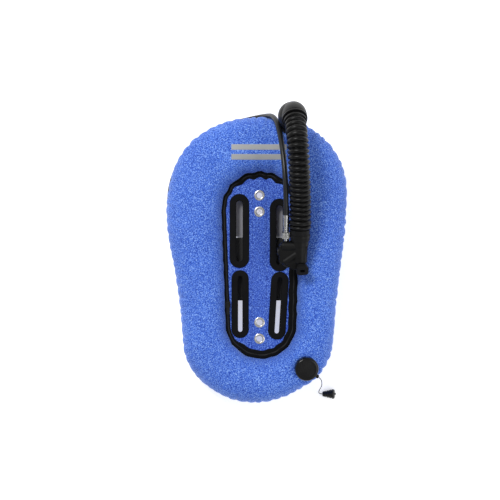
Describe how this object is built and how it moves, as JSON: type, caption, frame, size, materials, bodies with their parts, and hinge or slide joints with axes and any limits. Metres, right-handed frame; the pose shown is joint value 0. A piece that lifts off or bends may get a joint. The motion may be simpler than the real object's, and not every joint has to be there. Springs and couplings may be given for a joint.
{
  "type": "donut wing buoyancy compensator",
  "caption": "Egg-shaped inflated donut air cell with a slotted centre panel, elbow, corrugated hose, power inflator, low pressure hose and pull dump valve.",
  "frame": {"origin": "middle of the box around everything but the loose cords, on the surface that the back of the wing lies on", "axes": "+Z out of the diver-side face, +Y to the top of the wing where the hose is, +X to the right seen from the front"},
  "size_m": [0.3984, 0.6522, 0.2061],
  "materials": {
    "shell_fabric": "heathered woven nylon over a thin pad",
    "reflective": "retro-reflective print, plain",
    "bladder_film": "polyurethane film",
    "panel_fabric": "heathered woven nylon",
    "stiffener": "sheet",
    "neoprene": "bonded neoprene trim",
    "pad_grey": "ribbed non-slip pad",
    "pad_black": "ribbed non-slip pad",
    "grommet_metal": "nickel plated brass",
    "zip_tape": "zipper tape",
    "zip_coil": "nylon coil",
    "zip_metal": "black painted zinc",
    "moulded_black": "satin moulded plastic",
    "hose_rubber": "matt corrugated rubber",
    "lp_rubber": "smooth rubber hose",
    "soft_black": "silicone",
    "steel": "stainless",
    "chrome": "chromed brass",
    "button_plastic": "satin",
    "cord_grey": "braided polyester"
  },
  "bodies": {
    "wing": {"front_cover": "shell_fabric", "back_cover": "shell_fabric", "bladder": "bladder_film", "reflective_stripes": "reflective", "center_panel_front": "panel_fabric", "center_panel_stiffener": "stiffener", "center_panel_back": "panel_fabric", "slot_trim_upper_left": "neoprene", "slot_trim_upper_right": "neoprene", "slot_trim_lower_left": "neoprene", "slot_trim_lower_right": "neoprene", "slot_trims_back": "neoprene", "grommets": "grommet_metal", "grommet_washers": "grommet_metal", "tank_pad_upper": "pad_grey", "tank_pad_lower": "pad_black", "zipper_tape": "zip_tape", "zipper_coil": "zip_coil", "elbow_flange": "soft_black", "bladder_port": "moulded_black", "port_gasket": "soft_black", "elbow_nut": "moulded_black", "elbow": "moulded_black", "lp_hose_back": "lp_rubber", "first_stage_fitting": "chrome", "fitting_oring": "soft_black", "dump_inner_flange": "moulded_black", "dump_gasket": "soft_black", "dump_housing": "moulded_black", "cord_guide": "moulded_black", "dump_seal": "soft_black", "dump_spring": "steel", "pull_cord": "cord_grey"},
    "hose_assembly": {"corrugated_hose": "hose_rubber", "hose_clamp_upper": "moulded_black", "hose_clamp_lower": "moulded_black", "hose_cuff": "soft_black", "cable_tie": "moulded_black", "inflator_body": "moulded_black", "qd_nipple": "chrome", "nipple_oring": "soft_black", "valve_core": "steel", "mouthpiece": "soft_black", "inflate_spring": "steel", "deflate_spring": "steel", "coupler_body": "chrome", "coupler_spring": "steel", "lp_ferrule": "chrome", "lp_hose_front": "lp_rubber"},
    "inflate_button": {"inflate_button": "button_plastic"},
    "deflate_button": {"deflate_button": "button_plastic"},
    "coupler_sleeve": {"coupler_sleeve": "chrome"},
    "zipper_slider": {"zipper_slider": "zip_metal"},
    "zipper_pull": {"zipper_pull": "zip_metal"},
    "dump_poppet": {"dump_poppet": "moulded_black"},
    "pull_knob": {"pull_knob": "button_plastic"}
  },
  "joints": [
    {"name": "hose_lift", "type": "hinge", "parent": "wing", "child": "hose_assembly", "pos_m": [0.08252, 0.30163, 0.16587], "axis": [-1, 0, 0], "range_deg": [0, 45]},
    {"name": "inflate_press", "type": "slide", "parent": "hose_assembly", "child": "inflate_button", "axis": [1, 0, 0], "range_m": [0, 0.003], "stiffness_N_per_m": 500, "springref_m": -0.003, "deforming": ["inflate_spring"]},
    {"name": "deflate_press", "type": "slide", "parent": "hose_assembly", "child": "deflate_button", "axis": [0.5226, 0.8196, 0.235], "range_m": [0, 0.003], "stiffness_N_per_m": 500, "springref_m": -0.003, "deforming": ["deflate_spring"]},
    {"name": "coupler_pull_back", "type": "slide", "parent": "hose_assembly", "child": "coupler_sleeve", "axis": [0, 0.9613, 0.2756], "range_m": [0, 0.005], "stiffness_N_per_m": 500, "springref_m": -0.003, "deforming": ["coupler_spring"]},
    {"name": "zipper_run", "type": "slide", "parent": "wing", "child": "zipper_slider", "axis": [-0.0363, 0.9993, 0], "range_m": [-0.035, 0.19]},
    {"name": "zipper_pull_swing", "type": "hinge", "parent": "zipper_slider", "child": "zipper_pull", "pos_m": [-0.06316, -0.10823, 0.0614], "axis": [-0.9993, -0.0363, 0], "range_deg": [0, 165]},
    {"name": "dump_open", "type": "slide", "parent": "wing", "child": "dump_poppet", "axis": [0.1042, -0.0923, 0.9903], "range_m": [0, 0.004], "stiffness_N_per_m": 300, "springref_m": -0.003, "deforming": ["dump_spring"]},
    {"name": "dump_pull", "type": "slide", "parent": "wing", "child": "pull_knob", "axis": [0.9718, 0.0292, 0.234], "range_m": [0, 0.008]}
  ],
  "couplings": [
    {"joint": "dump_open", "follows": "dump_pull", "ratio": 0.5}
  ]
}
